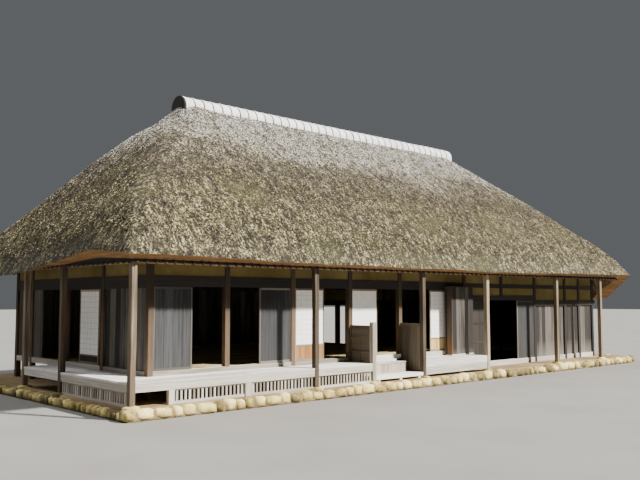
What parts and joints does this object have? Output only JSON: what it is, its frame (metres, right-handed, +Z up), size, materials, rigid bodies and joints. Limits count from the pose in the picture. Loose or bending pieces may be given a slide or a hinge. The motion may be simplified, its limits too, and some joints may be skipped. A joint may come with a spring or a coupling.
{
  "type": "thatched farmhouse",
  "caption": "Long thatched farmhouse with a hipped roof, raised veranda rooms at one end, an earth-floored hall at the other and sliding panels.",
  "frame": {"origin": "middle of the bounding box on the ground, under the roof", "axes": "+X along the front to the right, +Y towards the back, +Z up"},
  "size_m": [19.7004, 8.5602, 7.295],
  "materials": {
    "stone": "rough fieldstone edge round rammed earth",
    "timber": "weathered brown timber",
    "beams": "dark old beams",
    "boards": "weathered grey boards",
    "plaster": "ochre earth plaster",
    "floor": "bleached veranda boards",
    "mats": "straw mats",
    "paper": "paper on a fine wooden grid",
    "thatch": "thick weathered thatch",
    "ridge": "pale half-round ridge tiles"
  },
  "bodies": {
    "house": {"podium": "stone", "outer_frame_front": "timber", "outer_frame_back": "timber", "outer_frame_left": "timber", "outer_frame_right": "timber", "stub_post": "timber", "wall_plate_front": "beams", "wall_plate_back": "beams", "wall_plate_left": "beams", "wall_plate_right": "beams", "front_sill": "timber", "front_room_frame": "beams", "front_upper_wall": "plaster", "front_case_wall": "boards", "front_wall_over_door": "plaster", "front_hall_wall": "boards", "main_door_sill": "timber", "back_door_sill": "timber", "left_sill": "timber", "left_room_frame": "beams", "left_upper_wall": "plaster", "left_boards_front": "boards", "left_boards_middle": "boards", "left_boards_back": "boards", "back_sill": "timber", "back_room_wall": "boards", "back_door_wall": "boards", "back_hall_wall": "boards", "right_wall": "boards", "room_floor": "mats", "hall_step_beam": "beams", "veranda_floor_front": "floor", "veranda_floor_left": "floor", "veranda_skirt_left": "timber", "veranda_skirt_right": "timber", "veranda_skirt_side": "timber", "veranda_side_beam": "timber", "wing_screen_left": "beams", "wing_screen_right": "boards", "entry_platform": "floor", "entry_step": "timber", "bench_floor": "floor", "bench_front": "floor", "shutter_case": "boards", "thatch_front": "thatch", "thatch_back": "thatch", "thatch_left": "thatch", "thatch_right": "thatch", "ridge_cap": "ridge", "ridge_end_left": "beams", "ridge_end_right": "beams"},
    "board_door_left": {"board_door_left": "boards"},
    "board_door_right": {"board_door_right": "boards"},
    "shoji_middle": {"shoji_middle": "paper"},
    "paper_door": {"paper_door": "paper"},
    "shoji_right": {"shoji_right": "paper"},
    "main_door_left": {"main_door_left": "beams"},
    "main_door_right": {"main_door_right": "boards"},
    "side_paper_door": {"side_paper_door": "paper"}
  },
  "joints": [
    {"name": "board_door_left_slide", "type": "slide", "parent": "house", "child": "board_door_left", "axis": [1, 0, 0], "range_m": [0, 0.79]},
    {"name": "board_door_right_slide", "type": "slide", "parent": "house", "child": "board_door_right", "axis": [-1, 0, 0], "range_m": [0, 0.79]},
    {"name": "shoji_middle_slide", "type": "slide", "parent": "house", "child": "shoji_middle", "axis": [1, 0, 0], "range_m": [0, 0.79]},
    {"name": "paper_door_slide", "type": "slide", "parent": "house", "child": "paper_door", "axis": [1, 0, 0], "range_m": [0, 0.79]},
    {"name": "shoji_right_slide", "type": "slide", "parent": "house", "child": "shoji_right", "axis": [-1, 0, 0], "range_m": [0, 1.2]},
    {"name": "main_door_left_slide", "type": "slide", "parent": "house", "child": "main_door_left", "axis": [1, 0, 0], "range_m": [0, 2.46]},
    {"name": "main_door_right_slide", "type": "slide", "parent": "house", "child": "main_door_right", "axis": [-1, 0, 0], "range_m": [0, 2.46]},
    {"name": "side_paper_door_slide", "type": "slide", "parent": "house", "child": "side_paper_door", "axis": [0, 1, 0], "range_m": [0, 0.69]}
  ]
}
